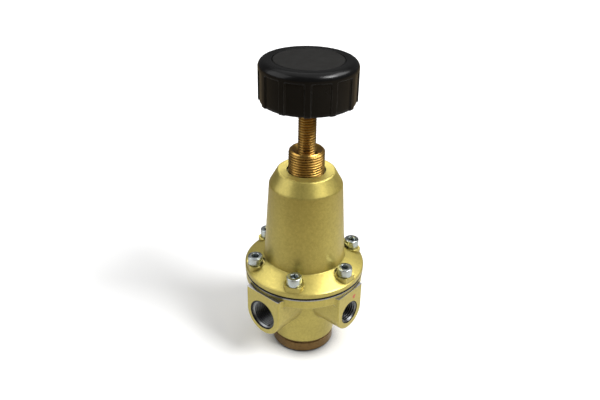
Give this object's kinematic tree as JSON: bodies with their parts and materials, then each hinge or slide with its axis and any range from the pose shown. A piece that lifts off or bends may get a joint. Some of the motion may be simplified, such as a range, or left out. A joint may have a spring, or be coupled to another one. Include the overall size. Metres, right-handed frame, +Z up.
{
  "type": "air pressure regulator",
  "caption": "Hand-set air pressure regulator with ribbed knob, threaded collar, conical spring bonnet and cast body with line and gauge ports.",
  "frame": {"origin": "on the adjusting axis, at the middle of the bottom plug's lower face, which the regulator stands on", "axes": "+Z up along the adjusting screw towards the knob, X along the line ports with the outlet at +X, Y along the gauge ports"},
  "size_m": [0.072, 0.0706, 0.1792],
  "materials": {
    "paint": "metallic olive-gold paint, fine cast grain",
    "collar_brass": "machined, copper-toned",
    "spindle_brass": "machined",
    "plug_brass": "dull brown, handled",
    "knob_plastic": "black satin, moulded",
    "cap_plastic": "black matte, fine grain",
    "zinc_steel": "zinc plated",
    "spring_steel": "oiled spring steel",
    "aluminium": "machined",
    "rubber": "matte"
  },
  "bodies": {
    "housing": {"body": "paint", "bonnet": "paint", "threaded_collar": "collar_brass", "diaphragm": "rubber", "bonnet_screws": "zinc_steel", "baffle_plate": "aluminium", "aspirator_tube": "spindle_brass", "valve_seat": "spindle_brass", "bottom_plug": "plug_brass", "plug_gasket": "rubber", "stem_o_ring": "rubber", "main_spring": "spring_steel", "valve_spring": "spring_steel"},
    "spring_carrier": {"spring_button": "zinc_steel", "thrust_ball": "spring_steel"},
    "adjuster": {"knob": "knob_plastic", "knob_cap": "cap_plastic", "knob_screw": "zinc_steel", "knob_washer": "zinc_steel", "adjusting_screw": "spindle_brass", "spindle_stop_ring": "spring_steel"},
    "valve": {"valve_stem": "spindle_brass", "valve_seal": "rubber", "valve_disc": "spindle_brass", "stem_nut": "zinc_steel"},
    "diaphragm_stack": {"spring_plate": "aluminium", "diaphragm_washer": "aluminium", "relief_stud": "spindle_brass", "diaphragm_nut": "zinc_steel"}
  },
  "joints": [
    {"name": "screw_travel", "type": "slide", "parent": "housing", "child": "spring_carrier", "axis": [0, 0, 1], "range_m": [-0.0135, 0], "deforming": ["main_spring"]},
    {"name": "knob_turn", "type": "hinge", "parent": "spring_carrier", "child": "adjuster", "pos_m": [0, 0, 0.16], "axis": [0, 0, 1], "range_deg": [-3240, 0]},
    {"name": "valve_lift", "type": "slide", "parent": "housing", "child": "valve", "axis": [0, 0, 1], "range_m": [-0.0012, 0], "deforming": ["valve_spring"]},
    {"name": "relief_lift", "type": "slide", "parent": "valve", "child": "diaphragm_stack", "axis": [0, 0, 1], "range_m": [0, 0.0008], "deforming": ["diaphragm"]}
  ],
  "couplings": [
    {"joint": "knob_turn", "follows": "screw_travel", "rad_per_m": 4188.8}
  ]
}
